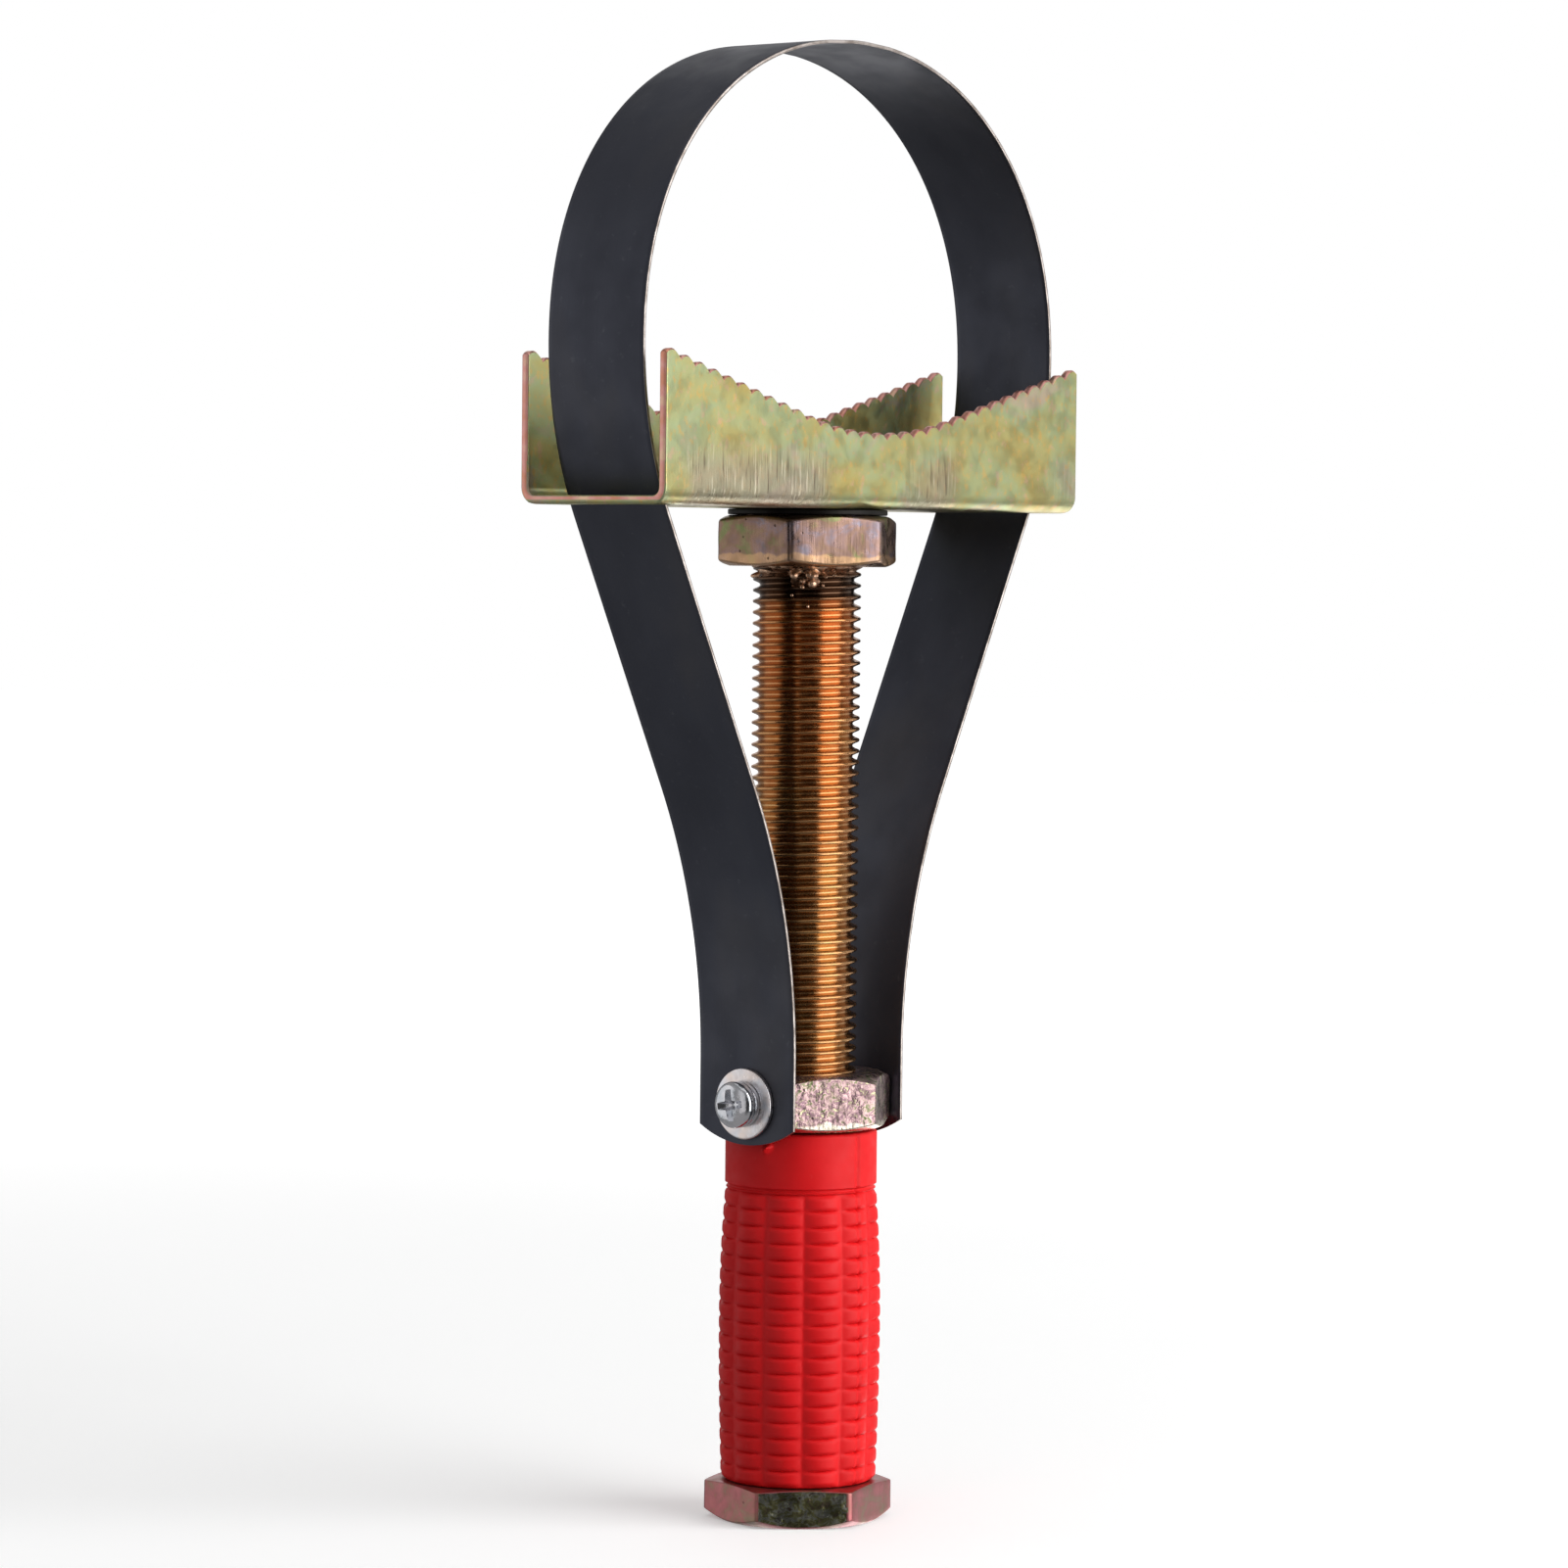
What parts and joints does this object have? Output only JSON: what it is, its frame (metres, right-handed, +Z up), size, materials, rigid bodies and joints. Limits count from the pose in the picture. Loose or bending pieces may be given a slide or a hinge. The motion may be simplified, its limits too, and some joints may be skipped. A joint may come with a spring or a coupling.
{
  "type": "oil filter wrench",
  "caption": "Oil filter wrench: a spring-steel band loops over a toothed saddle and is drawn down by a nut travelling on a long screw with a ribbed grip and a hexagon end.",
  "frame": {"origin": "centre of the end nut's bottom face, which the wrench stands on, under the middle of its bounding box", "axes": "+Z up the screw from the grip to the band loop, +X along the toothed saddle, +Y across the saddle and the band's width"},
  "size_m": [0.118, 0.0346, 0.2674],
  "materials": {
    "yellow_zinc": "steel sheet with yellow passivated zinc, olive and gold with pink cut edges",
    "bronzed_zinc": "steel nuts with yellow passivated zinc, pink bronze with green patches",
    "coppered_steel": "threaded steel rod, copper bronze, shiny flanks",
    "blued_steel": "hardened spring steel, blued, satin, with bright sheared edges",
    "bright_zinc": "bright zinc plated screws and washers",
    "red_grip": "moulded red vinyl, satin, ribbed",
    "weld_metal": "weld bead and spatter, bronze dark"
  },
  "bodies": {
    "saddle": {"saddle": "yellow_zinc", "swivel_washer": "bright_zinc", "thrust_washer": "blued_steel"},
    "screw": {"screw_rod": "coppered_steel", "thrust_nut": "bronzed_zinc", "thrust_nut_weld": "weld_metal", "grip": "red_grip", "end_nut": "bronzed_zinc", "end_nut_weld": "weld_metal"},
    "carriage": {"strap_nut": "bronzed_zinc", "band_leg_left": "blued_steel", "band_leg_right": "blued_steel", "flat_washer_left": "bright_zinc", "flat_washer_right": "bright_zinc", "spring_washer_left": "bright_zinc", "spring_washer_right": "bright_zinc", "strap_screw_left": "bright_zinc", "strap_screw_right": "bright_zinc"},
    "loop": {"band_loop": "blued_steel"}
  },
  "joints": [
    {"name": "screw_turn", "type": "hinge", "parent": "saddle", "child": "screw", "pos_m": [0, 0, 0.1835], "axis": [0, 0, -1], "range_deg": [0, 9000]},
    {"name": "nut_travel", "type": "slide", "parent": "saddle", "child": "carriage", "axis": [0, 0, 1], "range_m": [0, 0.05], "deforming": ["band_leg_left", "band_leg_right"]},
    {"name": "loop_growth", "type": "slide", "parent": "saddle", "child": "loop", "axis": [0, 0, 1], "range_m": [0, 0.0425]}
  ],
  "couplings": [
    {"joint": "nut_travel", "follows": "screw_turn", "m_per_rad": 0.0003183},
    {"joint": "loop_growth", "follows": "screw_turn", "m_per_rad": 0.00027056}
  ]
}
